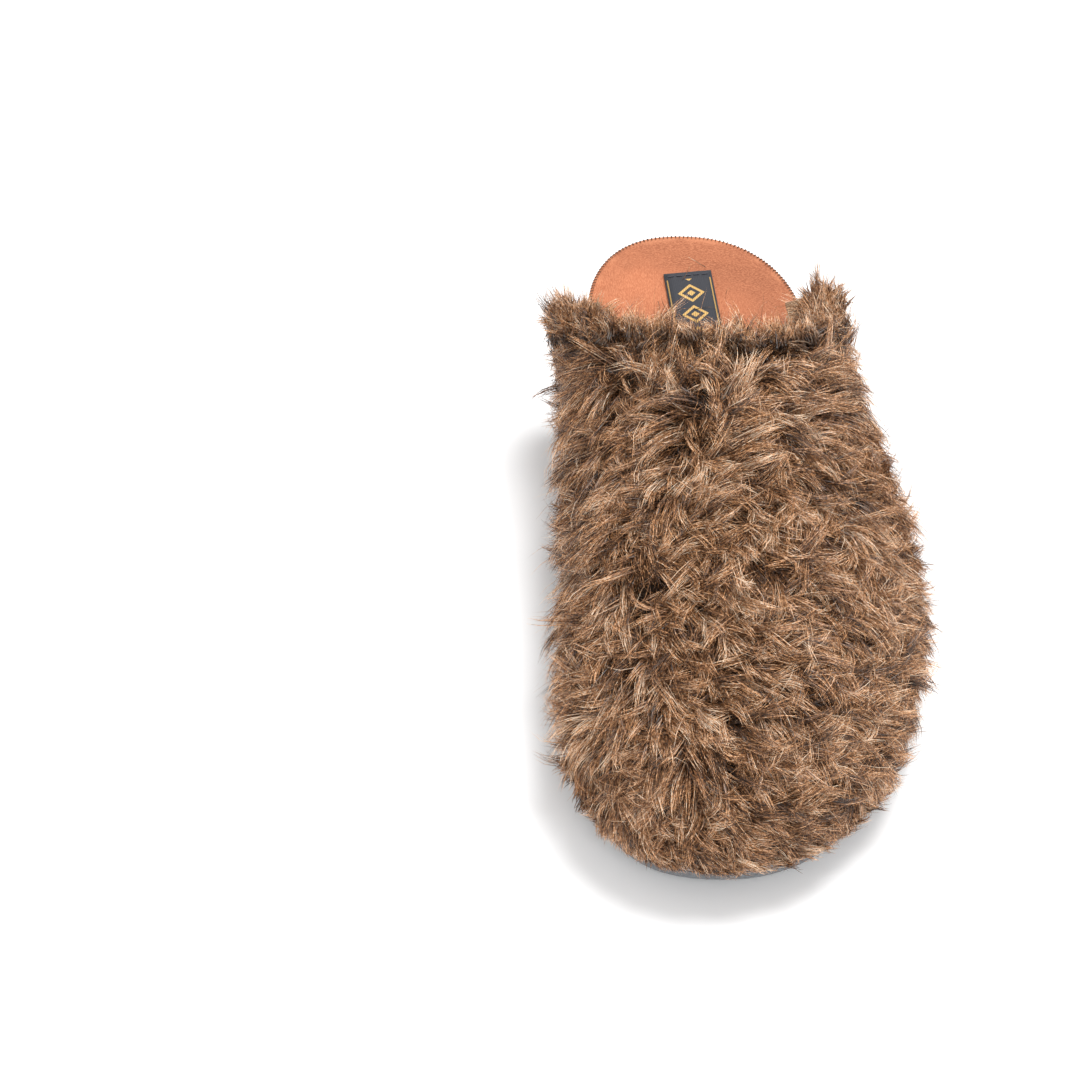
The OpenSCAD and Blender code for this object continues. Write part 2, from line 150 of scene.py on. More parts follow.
class Paint:
    # one material and a short way to add nodes to it
    def __init__(self, name):
        self.material = bpy.data.materials.new(name)
        self.material.use_nodes = True
        self.tree = self.material.node_tree
        self.tree.nodes.clear()

    def node(self, kind, settings=None, sockets=None, out=0):
        made = self.tree.nodes.new(kind)
        for key, value in (settings or {}).items():
            if key == "stops":
                ramp = made.color_ramp
                while len(ramp.elements) < len(value):
                    ramp.elements.new(0.5)
                for element, (place, colour) in zip(ramp.elements, value):
                    element.position, element.color = place, (*colour, 1)
            else:
                setattr(made, key, value)
        for key, value in (sockets or {}).items():
            if isinstance(value, Link):
                self.tree.links.new(value.socket, made.inputs[key])
            else:
                made.inputs[key].default_value = value
        return Link(self, made.outputs[out]) if made.outputs else None

    def place(self, scale=(1, 1, 1), turn=(0, 0, 0)):
        point = self.node("ShaderNodeTexCoord", out="Object")
        return self.node("ShaderNodeMapping", None,
                         {"Vector": point, "Scale": scale, "Rotation": turn})

    def noise(self, scale, detail=2.0, roughness=0.5, at=None, distortion=0.0):
        return self.node("ShaderNodeTexNoise", None, {
            "Vector": at or self.place(), "Scale": scale, "Detail": detail,
            "Roughness": roughness, "Distortion": distortion})

    def ramp(self, factor, *stops):
        return self.node("ShaderNodeValToRGB", {"stops": stops}, {"Fac": factor})

    def span(self, value, low, high, to=(0.0, 1.0)):
        return self.node("ShaderNodeMapRange", {"clamp": True}, {
            "Value": value, "From Min": low, "From Max": high,
            "To Min": to[0], "To Max": to[1]})

    def mix(self, factor, a, b, blend="MIX"):
        return self.node("ShaderNodeMix", {"data_type": "RGBA", "blend_type": blend}, {
            0: factor, 6: a if isinstance(a, Link) else (*a, 1),
            7: b if isinstance(b, Link) else (*b, 1)}, out=2)

    def bump(self, height, distance, strength=1.0, under=None):
        sockets = {"Height": height, "Distance": distance, "Strength": strength}
        if under:
            sockets["Normal"] = under
        return self.node("ShaderNodeBump", None, sockets)

    def finish(self, **sockets):
        wanted = {key.replace("_", " "): value for key, value in sockets.items()}
        if not isinstance(wanted["Base Color"], Link):
            wanted["Base Color"] = (*wanted["Base Color"], 1)
        shader = self.node("ShaderNodeBsdfPrincipled", None, wanted)
        self.node("ShaderNodeOutputMaterial", None, {"Surface": shader})
        return self.material


# ---- helpers for pieces ----

def mergedCopy(node, angle=28):
    # a node's mesh with its corners joined and its triangle pairs made quads again
    bm = bmesh.new()
    bm.from_mesh(nodes[node].data)
    bmesh.ops.remove_doubles(bm, verts=bm.verts, dist=joinDistance)
    bmesh.ops.join_triangles(
        bm, faces=bm.faces, angle_face_threshold=radians(angle),
        angle_shape_threshold=radians(120))
    return bm


def nodeTree(node):
    mesh = nodes[node].data
    return BVHTree.FromPolygons([v.co for v in mesh.vertices],
                                [tuple(p.vertices) for p in mesh.polygons])


def sharpEdges(bm, angle):
    return [e for e in bm.edges if len(e.link_faces) == 2
            and e.calc_face_angle(0) > radians(angle)]


def roundEdges(bm, angle, width, segments=2):
    bmesh.ops.bevel(bm, geom=sharpEdges(bm, angle), offset=width, affect="EDGES",
                    segments=segments, profile=0.5, material=-1, clamp_overlap=True)


def steadyOrder(bm):
    # some operators leave points and faces in another order on each run
    places = ((bm.verts, lambda v: v.co), (bm.faces, lambda f: f.calc_center_median()))
    for parts, place in places:
        ranked = sorted(parts, key=lambda part: [round(c / joinDistance) for c in place(part)])
        for i, part in enumerate(ranked):
            part.index = i
        parts.sort()


def addPiece(name, bm, material, replaced=(), levels=0, smooth=True):
    mesh = bpy.data.meshes.new(name)
    steadyOrder(bm)
    bm.to_mesh(mesh)
    bm.free()
    return setUp(name, mesh, material, replaced, levels, smooth)


def setUp(name, mesh, material, replaced=(), levels=0, smooth=True):
    piece = bpy.data.objects.new(name, mesh)
    bpy.context.scene.collection.objects.link(piece)
    mesh.materials.append(material)
    mesh.polygons.foreach_set("use_smooth", [smooth] * len(mesh.polygons))
    if levels:
        soft = piece.modifiers.new("round", "SUBSURF")
        soft.levels = soft.render_levels = levels
    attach(piece, "root")
    if replaced:
        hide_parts(*replaced)
    return piece


def repaint(node, material):
    slots = nodes[node].data.materials
    slots.clear()
    slots.append(material)


# ---- sole ----

sole = {
    "outsoleColour": (0.15, 0.157, 0.166),
    "wedgeColour": (0.21, 0.22, 0.235),
    "edge": 0.45 * mm,
}


def foamRubber(name, colour, grain):
    paint = Paint(name)
    speck = paint.noise(900, 3, 0.7)
    cloud = paint.noise(60, 3)
    shade = paint.span(speck, 0.35, 0.68, (0.72, 1.32))
    tone = paint.mix(cloud, tuple(c * 0.86 for c in colour), tuple(c * 1.16 for c in colour))
    mottled = paint.mix(1.0, tone, paint.ramp(shade * 0.7, (0, (0, 0, 0)), (1, (1.4, 1.4, 1.4))),
                        "MULTIPLY")
    pits = paint.node("ShaderNodeTexVoronoi", None,
                      {"Vector": paint.place(), "Scale": 1400.0}, out="Distance")
    rough = paint.span(cloud, 0.3, 0.7, (0.62, 0.8))
    return paint.finish(Base_Color=mottled, Roughness=rough,
                        Normal=paint.bump(pits, grain, 0.6))


def addSole():
    bm = mergedCopy("outsole")
    roundEdges(bm, 38, sole["edge"])
    addPiece("outsolePiece", bm, foamRubber("outsole rubber", sole["outsoleColour"], 0.12 * mm),
             ("outsole",), 1)
    bm = mergedCopy("midsole_wedge")
    roundEdges(bm, 50, sole["edge"])
    addPiece("wedgePiece", bm, foamRubber("wedge foam", sole["wedgeColour"], 0.2 * mm),
             ("midsole_wedge",), 2)


# ---- fur ----

fur = {
    "depth": (3.0 * mm, 9.0 * mm),   # outer face down to the backing, at the hem and above
    "tufts": 7000,
    "perTuft": 24,
    "tuftWidth": 1.35 * mm,
    "length": (12.5 * mm, 19.0 * mm),
    "width": 0.31 * mm,
    "lift": (60, 2),            # degrees off the backing, at the root and at the tip
    "clump": 0.78,
    "undercoat": 32000,
    "flyaways": 1300,
    "hem": 2.0 * mm,            # how far hair may hang below the CAD solid's hem
    "hemSlope": 0.85,
    "edgeTufts": 1150,
    "edgeLength": (8 * mm, 14 * mm),
    "edgePerTuft": 20,
    "wallReach": 24 * mm,       # how far behind the outer face the lining may lie
    "wallGap": 5.5 * mm,        # faces nearer to the lining than this are the inner side
    "backingGap": 5.0 * mm,     # from the lining to where the roots stand
    "rimReach": 11.5 * mm,      # edges this near the binding are the open edge
    "backing": 0.9 * mm,
    "turnFrom": 7 * mm,         # the pile starts to lie back over the open edge here
    "turnOver": 20 * mm,
    "pieces": 8,
    "seed": 11,
}


def outerSheet():
    # the faces of the fur solid that look away from the foot: the lining lies behind them
    bm = bmesh.new()
    bm.from_mesh(nodes["fur_upper"].data)
    bmesh.ops.remove_doubles(bm, verts=bm.verts, dist=joinDistance)
    bm.normal_update()
    behind = nodeTree("upper_lining")
    lost = []
    for face in bm.faces:
        hit = behind.ray_cast(face.calc_center_median(), -face.normal,
                              fur["wallReach"])
        if hit[0] is None or hit[3] < fur["wallGap"]:
            lost.append(face)
    bmesh.ops.delete(bm, geom=lost, context="FACES")
    bm.normal_update()
    room = bm.verts.layers.float.new("room")
    for vert in bm.verts:
        near = behind.find_nearest(vert.co, 0.03)
        vert[room] = min(max(near[3] - fur["backingGap"], fur["depth"][0]), fur["depth"][1])
    return bm


def edgeRim(bm):
    # the sheet's edge beside the binding: middles, outward normals and the way off the sheet
    tape = nodeTree("topline_binding")
    rows = []
    for edge in bm.edges:
        if not edge.is_boundary or tape.find_nearest(edge.verts[0].co)[3] > fur["rimReach"]:
            continue
        a, b = (v.co for v in edge.verts)
        face = edge.link_faces[0]
        away = (a + b) / 2 - face.calc_center_median()
        along = (b - a).normalized()
        away = (away - along * away.dot(along)).normalized()
        rows.append((*a, *b, *face.normal, *away))
    return np.array(rows)


def sheetArrays(bm):
    bmesh.ops.triangulate(bm, faces=bm.faces)
    bm.normal_update()
    bm.verts.index_update()
    room = bm.verts.layers.float["room"]
    points = np.array([v.co for v in bm.verts])
    normals = np.array([v.normal for v in bm.verts])
    corners = np.array([[v.index for v in f.verts] for f in bm.faces])
    return points, normals, np.array([v[room] for v in bm.verts]), corners


def scatter(sheet, count, rng):
    points, normals, room, corners = sheet
    a, b, c = (points[corners[:, i]] for i in range(3))
    area = np.linalg.norm(np.cross(b - a, c - a), axis=1)
    pick = rng.choice(len(corners), count, p=area / area.sum())
    u, v = rng.random((2, count))
    turned = u + v > 1
    u[turned], v[turned] = 1 - u[turned], 1 - v[turned]
    w = np.stack([1 - u - v, u, v], axis=1)
    at = (points[corners[pick]] * w[:, :, None]).sum(1)
    out = (normals[corners[pick]] * w[:, :, None]).sum(1)
    deep = (room[corners[pick]] * w).sum(1)
    return at, unit(out), deep[:, None]


def unit(v):
    return v / np.maximum(np.linalg.norm(v, axis=-1, keepdims=True), 1e-12)


def wander(at, scale, seed):
    # smooth noise from about -1 to 1 at each point
    shift = Vector((seed * 3.7, seed * 1.3, -seed * 2.1))
    return np.array([noise.noise(Vector(p) * scale + shift) for p in at]) * 1.6


def throatGap(at):
    # how far each point is from the bound edge
    edge = np.array([v.co for v in nodes["topline_binding"].data.vertices])
    gap = np.full(len(at), 1.0)
    for p in edge[::max(1, len(edge) // 400)]:
        gap = np.minimum(gap, np.linalg.norm(at - p, axis=1))
    return gap


def hemHeight(y):
    # the lowest the hair may hang at each place along the slipper
    verts = np.array([v.co for v in nodes["fur_upper"].data.vertices])
    places = np.linspace(verts[:, 1].min(), verts[:, 1].max(), 24)
    reach = places[1] - places[0]
    lowest = [verts[np.abs(verts[:, 1] - at) <= reach, 2].min() for at in places]
    return np.interp(y, places, lowest) - fur["hem"]


def combed(at, out, rng, spread):
    # the way the pile lies: to both sides and towards the toe, and back over the bound edge
    low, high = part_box("fur_upper")
    across = (at[:, 0] - (low.x + high.x) / 2) / ((high.x - low.x) / 2)
    parting = across + 0.5 + 0.4 * wander(at, 26, 5)
    flow = np.stack([np.tanh(2.4 * parting), np.full(len(at), -0.5),
                     -0.5 * np.abs(across)], axis=1)
    uneven = 7 * mm * wander(at, 70, 6) + 3 * mm * wander(at, 190, 7)
    near = np.clip(1 - (throatGap(at) - fur["turnFrom"] + uneven) / fur["turnOver"], 0, 1)[:, None]
    back = np.stack([0.9 * across + 0.3 * wander(at, 60, 8), np.full(len(at), 0.8),
                     np.full(len(at), 0.35)], axis=1)
    flow = unit(flow) * (1 - near) + unit(back) * near
    flow = unit(flow - out * (flow * out).sum(1, keepdims=True))
    side = np.cross(out, flow)
    loose = 1 - 0.2 * near[:, 0]
    turn = loose * (radians(75) * wander(at, 34, 1) + radians(45) * wander(at, 110, 2))
    turn = (turn + rng.normal(0, radians(spread), len(at)))[:, None]
    return flow * np.cos(turn) + side * np.sin(turn)


def hairLines(root, out, flow, length, lift, curl, steps=4):
    # centre lines of hairs that leave the backing steeply and lie over
    lines = [root]
    side = np.cross(out, flow)
    for k in range(steps):
        part = (k + 0.5) / steps
        rise = lift[0] * (1 - part) ** 1.25 + lift[1] * part
        bend = curl * part
        lie = flow * np.cos(bend)[:, None] + side * np.sin(bend)[:, None]
        way = out * np.sin(rise)[:, None] + lie * np.cos(rise)[:, None]
        way = unit(way + np.array([0, 0, -0.22 * part]))
        lines.append(lines[-1] + way * (length / steps)[:, None])
    return np.stack(lines, axis=1)


def trimmed(lines, rng):
    # hair is cut where it would hang below the hem, sooner the further out it stands
    root = lines[:, 0]
    hem = hemHeight(root[:, 1]) + rng.normal(0, 1.0, len(lines)) * mm
    rise = lines[:, 1:, 2] - root[:, None, 2]
    stand = np.linalg.norm(lines[:, 1:, :2] - root[:, None, :2], axis=2)
    fall = fur["hemSlope"] * stand - rise
    room = np.maximum(root[:, 2] - hem, 0)[:, None]
    keep = np.where(fall > 1e-6, room / np.maximum(fall, 1e-6), 1.0).min(1)
    keep = np.clip(keep, 0.22, 1)[:, None, None]
    return root[:, None] + (lines - root[:, None]) * keep


def bundle(guide, flow, out, tone, each, rng):
    # hairs round each guide: apart at the root, drawn together at the tip
    count, steps = guide.shape[:2]
    ring = rng.normal(0, 1, (count, each, 2)) * fur["tuftWidth"]
    side = np.cross(out, flow)
    offset = ring[..., :1] * flow[:, None] + ring[..., 1:] * side[:, None]
    reach = rng.uniform(0.62, 1.12, (count, each))
    part = np.linspace(0, 1, steps)
    pull = 1 - rng.normal(fur["clump"], 0.14, (count, each, 1)) * part ** 1.1
    shape = (guide - guide[:, :1])[:, None] * reach[..., None, None]
    stray = rng.normal(0, 1, (count, each, 1, 3)) * part[:, None] ** 1.4 * 0.8 * mm
    hairs = guide[:, None, :1] + offset[:, :, None] * pull[..., None] + shape + stray
    tones = np.clip(tone[:, None] + rng.normal(0, 0.2, (count, each)), 0.02, 0.98)
    width = fur["width"] * rng.uniform(0.6, 1.15, (count, each))
    return (trimmed(hairs.reshape(-1, steps, 3), rng), tones.ravel(), width.ravel(),
            np.repeat(out, each, axis=0))


def tuftHairs(sheet, rng):
    count = fur["tufts"]
    at, out, deep = scatter(sheet, count, rng)
    flow = combed(at, out, rng, 30)
    nearEdge = np.clip(1 - (throatGap(at) - 2 * mm) / (8 * mm), 0, 1)
    length = rng.uniform(*fur["length"], count) * (1 + 0.16 * wander(at, 60, 3))
    length = length * rng.lognormal(0, 0.14, count)
    length = length * (1 - 0.1 * nearEdge) * np.interp(deep[:, 0], fur["depth"], (0.6, 1))
    lift = [np.radians(rng.normal(fur["lift"][0], 12, count)),
            np.radians(rng.normal(fur["lift"][1], 13, count))]
    guide = hairLines(at - out * deep, out, flow, length, lift,
                      rng.normal(0, radians(45), count))
    tone = 0.47 + 0.24 * wander(at, 120, 4) + rng.normal(0, 0.17, count)
    return bundle(guide, flow, out, tone, fur["perTuft"], rng)


def edgeHairs(rim, rng):
    # tufts that stand off the open edge and lean in over the binding
    count = fur["edgeTufts"]
    a, b, out, away = rim[:, 0:3], rim[:, 3:6], rim[:, 6:9], rim[:, 9:12]
    size = np.linalg.norm(b - a, axis=1)
    pick = rng.choice(len(rim), count, p=size / size.sum())
    t = rng.random((count, 1))
    at = a[pick] * t + b[pick] * (1 - t)
    sink = rng.uniform(0.0, 9.0, (count, 1)) * mm
    root = at - out[pick] * sink - away[pick] * rng.uniform(0.5, 7.0, (count, 1)) * mm
    lean = -0.1 * out[pick] + rng.normal(0, 0.9, (count, 3))
    lean = unit(lean - away[pick] * (lean * away[pick]).sum(1, keepdims=True))
    length = rng.uniform(*fur["edgeLength"], count) * np.clip(sink[:, 0] / (6 * mm), 0.75, 1.1)
    lift = [np.radians(rng.normal(78, 12, count)), np.radians(rng.normal(34, 24, count))]
    guide = hairLines(root, away[pick], lean, length, lift, rng.normal(0, radians(35), count))
    tone = 0.55 + rng.normal(0, 0.17, count)
    return bundle(guide, lean, away[pick], tone, fur["edgePerTuft"], rng)


def looseHairs(sheet, rng, count, length, lift, tone, width, spread):
    at, out, deep = scatter(sheet, count, rng)
    flow = combed(at, out, rng, spread)
    size = rng.uniform(*length, count) * np.interp(deep[:, 0], fur["depth"], (0.5, 1))
    angles = [np.radians(rng.normal(lift[0], 12, count)),
              np.radians(rng.normal(lift[1], 14, count))]
    lines = hairLines(at - out * deep, out, flow, size, angles,
                      rng.normal(0, radians(60), count))
    tones = np.clip(rng.normal(*tone, count), 0.02, 0.98)
    return (trimmed(lines, rng), tones, width * rng.uniform(0.7, 1.1, count), out)


def ribbonMesh(name, lines, tones, width, out, rng):
    # each hair is a tapering ribbon; the UV map holds its tone across and its length along
    count, steps = lines.shape[:2]
    along = unit(np.gradient(lines, axis=1))
    face = unit(out + rng.normal(0, 0.75, (count, 3)))
    side = unit(np.cross(along, face[:, None]))
    taper = (1 - np.linspace(0, 1, steps) ** 2.2)[None, :, None] * 0.9 + 0.1
    half = side * (width / 2)[:, None, None] * taper
    per = 2 * steps - 1
    verts = np.empty((count, per, 3))
    verts[:, 0:-1:2] = lines[:, :-1] - half[:, :-1]
    verts[:, 1:-1:2] = lines[:, :-1] + half[:, :-1]
    verts[:, -1] = lines[:, -1]
    base = np.arange(count)[:, None] * per
    quads = [np.concatenate([base + 2 * k + i for i in (0, 1, 3, 2)], axis=1)
             for k in range(steps - 2)]
    tips = np.concatenate([base + per - 3, base + per - 2, base + per - 1], axis=1)
    quads = np.stack(quads, axis=1).reshape(-1, 4)
    loops = np.concatenate([quads.ravel(), tips.ravel()])
    starts = np.concatenate([np.arange(len(quads)) * 4,
                             len(quads) * 4 + np.arange(len(tips)) * 3])
    mesh = bpy.data.meshes.new(name)
    mesh.vertices.add(count * per)
    mesh.vertices.foreach_set("co", verts.astype(np.float32).ravel())
    mesh.loops.add(len(loops))
    mesh.loops.foreach_set("vertex_index", loops.astype(np.int32))
    mesh.polygons.add(len(starts))
    mesh.polygons.foreach_set("loop_start", starts.astype(np.int32))
    mesh.update(calc_edges=True)
    heights = np.repeat(np.arange(steps), 2)[:-1] / (steps - 1)
    uv = np.empty((count, per, 2))
    uv[..., 0] = tones[:, None]
    uv[..., 1] = 0.01 + 0.98 * heights
    layer = mesh.uv_layers.new(name="strand")
    layer.data.foreach_set("uv", uv.reshape(-1, 2)[loops].astype(np.float32).ravel())
    return mesh


def furPaint():
    paint = Paint("brown pile")
    uv = paint.node("ShaderNodeUVMap", {"uv_map": "strand"}, out="UV")
    tone = paint.node("ShaderNodeSeparateXYZ", None, {"Vector": uv}, out="X")
    along = paint.node("ShaderNodeSeparateXYZ", None, {"Vector": uv}, out="Y")
    # painted highlight: fine noise lifts the tone in short specks along the hairs, up to the
    # near-white top of the ramp, and darkens it between them
    painted_glint = paint.noise(1050, 2, 0.7)
    tone = tone + paint.span(painted_glint, 0.3, 0.7, (-0.44, 0.46))
    colour = paint.ramp(tone, (0.0, (0.042, 0.019, 0.009)), (0.2, (0.13, 0.057, 0.022)),
                        (0.48, (0.42, 0.185, 0.070)), (0.74, (0.94, 0.50, 0.240)),
                        (1.0, (1.0, 0.80, 0.60)))
    # painted shade: the hairs darken towards their roots, deep in the pile where it shades itself,
    # on top of their own darker roots and lighter tips
    shade = paint.ramp(along, (0.0, (0.04, 0.03, 0.025)), (0.45, (0.32, 0.28, 0.25)),
                       (0.85, (1.0, 1.0, 1.0)))
    return paint.finish(Base_Color=paint.mix(1.0, colour, shade, "MULTIPLY"),
                        Roughness=0.38, Specular_IOR_Level=0.5)


def backingPaint():
    # the fur's knit backing, coloured near black as painted shade deep between the hairs
    paint = Paint("backing in painted shade")
    knit = paint.noise(700, 3, 0.6)
    colour = paint.mix(knit, (0.022, 0.013, 0.008), (0.06, 0.034, 0.018))
    return paint.finish(Base_Color=colour, Roughness=0.95, Normal=paint.bump(knit, 0.4 * mm))


def strayHairs(rng, count=16):
    # shed hairs that lie on the suede
    low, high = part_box("footbed_cover")
    suede = nodeTree("footbed_cover")
    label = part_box("woven_label")[1].z + 0.2 * mm
    x = rng.normal((low.x + high.x) / 2 - 12 * mm, 12 * mm, count)
    y = high.y - rng.uniform(14 * mm, 50 * mm, count)
    at = [suede.ray_cast(Vector((a, b, 0.2)), Vector((0, 0, -1)))[0] for a, b in zip(x, y)]
    at = np.array([p for p in at if p is not None])
    out = np.tile([0.0, 0.0, 1.0], (len(at), 1))
    turn = rng.uniform(0, 2 * pi, len(at))
    flow = np.stack([np.cos(turn), np.sin(turn), 0 * turn], axis=1)
    lines = hairLines(at, out, flow, rng.uniform(5 * mm, 11 * mm, len(at)),
                      [np.full(len(at), 0.5), np.full(len(at), 0.1)],
                      rng.normal(0, 0.9, len(at)))
    lines[:, :, 2] = np.maximum(lines[:, :, 2], at[:, None, 2]) + 0.25 * mm
    nearLabel = np.abs(at[:, 0] - (low.x + high.x) / 2 - 2 * mm) < 30 * mm
    lines[nearLabel, :, 2] = np.maximum(lines[nearLabel, :, 2], label)
    return lines, rng.uniform(0.2, 0.98, len(at)), np.full(len(at), 0.22 * mm), out


def addFur():
    rng = np.random.default_rng(fur["seed"])
    outer = outerSheet()
    rim = edgeRim(outer)
    backing = outer.copy()
    room = backing.verts.layers.float["room"]
    for vert in backing.verts:
        vert.co -= vert.normal * (vert[room] - 0.5 * mm)
    bmesh.ops.solidify(backing, geom=backing.faces, thickness=fur["backing"])
    knit = addPiece("furBacking", backing, backingPaint(), ("fur_upper",), 1)
    sheet = sheetArrays(outer)
    outer.free()
    groups = [tuftHairs(sheet, rng), edgeHairs(rim, rng), strayHairs(rng),
              looseHairs(sheet, rng, fur["undercoat"], (6 * mm, 10 * mm), (55, 15),
                         (0.22, 0.12), 0.32 * mm, 70),
              looseHairs(sheet, rng, fur["flyaways"], (18 * mm, 25 * mm), (62, 20),
                         (0.5, 0.25), 0.2 * mm, 55)]
    lines, tones, width, out = (np.concatenate(part) for part in zip(*groups))
    order = np.argsort(lines[:, 0, 1], kind="stable")
    paint = furPaint()
    for i, part in enumerate(np.array_split(order, fur["pieces"])):
        mesh = ribbonMesh(f"furPile{i + 1}", lines[part], tones[part], width[part], out[part], rng)
        setUp(f"furPile{i + 1}", mesh, paint)
    print("fur hairs", len(lines))


# ---- cloth, thread and board ----

cloth = {
    "suede": ((0.26, 0.072, 0.028), (0.47, 0.148, 0.064)),
    "suedeFibre": (0.70, 0.28, 0.14),
    "lining": ((0.70, 0.63, 0.50), (0.86, 0.80, 0.68)),
    "binding": (0.30, 0.175, 0.095),
    "label": (0.026, 0.028, 0.038),
    "gold": (0.80, 0.48, 0.13),
    "labelThread": (0.06, 0.06, 0.08),
    "edgeThread": (0.13, 0.055, 0.025),
    "paleThread": (0.62, 0.50, 0.35),
    "board": (0.36, 0.27, 0.17),
    "filler": (0.30, 0.25, 0.18),
    "stiffener": (0.42, 0.44, 0.46),
    "padding": (0.66, 0.60, 0.36),
}
label = {"turn": 7.0, "width": 16 * mm, "length": 40 * mm, "repeat": 10 * mm}
stitch = {"pitch": 1.35 * mm, "thread": 0.17 * mm, "reach": 0.8 * mm, "sides": 5, "steps": 4,
          "wrap": -118, "lean": 9, "sink": 0.62 * mm, "stand": 0.1 * mm, "seed": 4}


def suedePaint():
    paint = Paint("tan suede")
    nap = paint.noise(24, 4, 0.55, distortion=0.8)
    brushed = paint.noise(1.0, 4, 0.75, at=paint.place((1400, 3300, 1400), (0, 0, radians(24))))
    crossed = paint.noise(1.0, 3, 0.7, at=paint.place((2900, 900, 1400), (0, 0, radians(-31))))
    pile = paint.mix(paint.span(nap, 0.42, 0.58), (0, 0, 0), (1, 1, 1))
    fibre = paint.node("ShaderNodeMix", {"data_type": "FLOAT"},
                       {0: pile, 2: brushed, 3: crossed})
    tone = paint.mix(paint.span(nap, 0.36, 0.64), *cloth["suede"])
    rim = paint.node("ShaderNodeAttribute", {"attribute_name": "rim"}, out="Fac")
    tone = paint.mix(rim * 0.4, tone, cloth["suedeFibre"])
    speck = paint.span(fibre, 0.38, 0.64, (0.0, 0.62))
    colour = paint.mix(speck, tone, cloth["suedeFibre"])
    return paint.finish(Base_Color=colour, Roughness=0.95, Sheen_Weight=0.2,
                        Sheen_Roughness=0.5, Normal=paint.bump(fibre, 0.16 * mm, 0.8))


def clothPaint(name, colour, weave, depth, rough=0.85, slant=45):
    paint = Paint(name)
    turned = (0, 0, radians(slant))
    warp = paint.node("ShaderNodeTexWave", {"wave_type": "BANDS", "bands_direction": "X"},
                      {"Vector": paint.place(turn=turned), "Scale": weave, "Distortion": 0.6,
                       "Detail": 1.0}, out="Fac")
    weft = paint.node("ShaderNodeTexWave", {"wave_type": "BANDS", "bands_direction": "Y"},
                      {"Vector": paint.place(turn=turned), "Scale": weave, "Distortion": 0.6,
                       "Detail": 1.0}, out="Fac")
    yarn = warp * weft
    fuzz = paint.noise(2200, 2, 0.6)
    dark = tuple(c * 0.55 for c in colour)
    shade = paint.mix(paint.span(yarn + fuzz * 0.5, 0.1, 0.9), dark, colour)
    return paint.finish(Base_Color=shade, Roughness=rough,
                        Normal=paint.bump(yarn + fuzz * 0.3, depth))


def fleecePaint():
    paint = Paint("cream fleece")
    curl = paint.node("ShaderNodeTexVoronoi", {"feature": "SMOOTH_F1"},
                      {"Vector": paint.place(), "Scale": 420.0}, out="Distance")
    fuzz = paint.noise(1500, 4, 0.7)
    soil = paint.noise(30, 3)
    tone = paint.mix(paint.span(curl + fuzz * 0.6, 0.25, 0.95), *reversed(cloth["lining"]))
    tone = paint.mix(paint.span(soil, 0.45, 0.8, (0.0, 0.3)), tone, cloth["lining"][0])
    return paint.finish(Base_Color=tone, Roughness=0.97, Sheen_Weight=0.3,
                        Normal=paint.bump(curl * -1.0 + fuzz * 0.5, 0.7 * mm))


def fibrePaint(name, colour, grain=500, depth=0.15, rough=0.9):
    paint = Paint(name)
    pulp = paint.noise(grain, 4, 0.7)
    flecks = paint.node("ShaderNodeTexVoronoi", None,
                        {"Vector": paint.place((1, 1, 0.3)), "Scale": grain * 1.3}, out="Distance")
    tone = paint.mix(paint.span(pulp, 0.3, 0.7), tuple(c * 0.7 for c in colour),
                     tuple(min(1, c * 1.2) for c in colour))
    tone = paint.mix(paint.span(flecks, 0.0, 0.2, (0.35, 0.0)), tone,
                     tuple(c * 0.4 for c in colour))
    return paint.finish(Base_Color=tone, Roughness=rough, Normal=paint.bump(pulp, depth * mm))


def threadPaint(name, colour, rough=0.6):
    paint = Paint(name)
    twist = paint.node("ShaderNodeTexWave", {"wave_type": "BANDS", "bands_direction": "DIAGONAL"},
                       {"Vector": paint.place(), "Scale": 900.0, "Distortion": 1.0}, out="Fac")
    tone = paint.mix(twist, tuple(c * 0.6 for c in colour), colour)
    return paint.finish(Base_Color=tone, Roughness=rough, Normal=paint.bump(twist, 0.05 * mm))


def labelPaint():
    # charcoal satin with a gold row of diamonds between two fine lines
    paint = Paint("woven label")
    low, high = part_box("woven_label")
    middle = (low + high) / 2
    point = paint.node("ShaderNodeTexCoord", out="Object")
    moved = paint.node("ShaderNodeVectorMath", {"operation": "SUBTRACT"},
                       {0: point, 1: middle})
    on = paint.node("ShaderNodeVectorRotate", {"rotation_type": "Z_AXIS"},
                    {"Vector": moved, "Angle": radians(-label["turn"])})
    x = paint.node("ShaderNodeSeparateXYZ", None, {"Vector": on}, out="X")
    y = paint.node("ShaderNodeSeparateXYZ", None, {"Vector": on}, out="Y")
    across = (x * (2 / label["width"])).absolute()
    row = (y * (1 / label["repeat"])).pingPong(0.5) * 2
    shape = across * 1.5 + row
    outline = (shape - 0.72).absolute().lessThan(0.13)
    core = shape.lessThan(0.27)
    line = (across - 0.9).absolute().lessThan(0.025)
    inside = (y * (2 / label["length"])).absolute().lessThan(0.84)
    motif = (outline + core + line).clamped() * inside
    weft = paint.node("ShaderNodeTexWave", {"wave_type": "BANDS", "bands_direction": "Y"},
                      {"Vector": on, "Scale": 640.0, "Distortion": 0.3}, out="Fac")
    warp = paint.node("ShaderNodeTexWave", {"wave_type": "BANDS", "bands_direction": "X"},
                      {"Vector": on, "Scale": 520.0, "Distortion": 0.3}, out="Fac")
    ground = paint.mix(weft, tuple(c * 0.55 for c in cloth["label"]),
                       tuple(c * 1.1 for c in cloth["label"]))
    gold = paint.mix(warp, tuple(c * 0.5 for c in cloth["gold"]), cloth["gold"])
    return paint.finish(Base_Color=paint.mix(motif, ground, gold),
                        Roughness=paint.span(motif, 0, 1, (0.62, 0.42)), Sheen_Weight=0.1,
                        Normal=paint.bump(weft * 0.6 + warp * 0.4 + motif, 0.08 * mm))


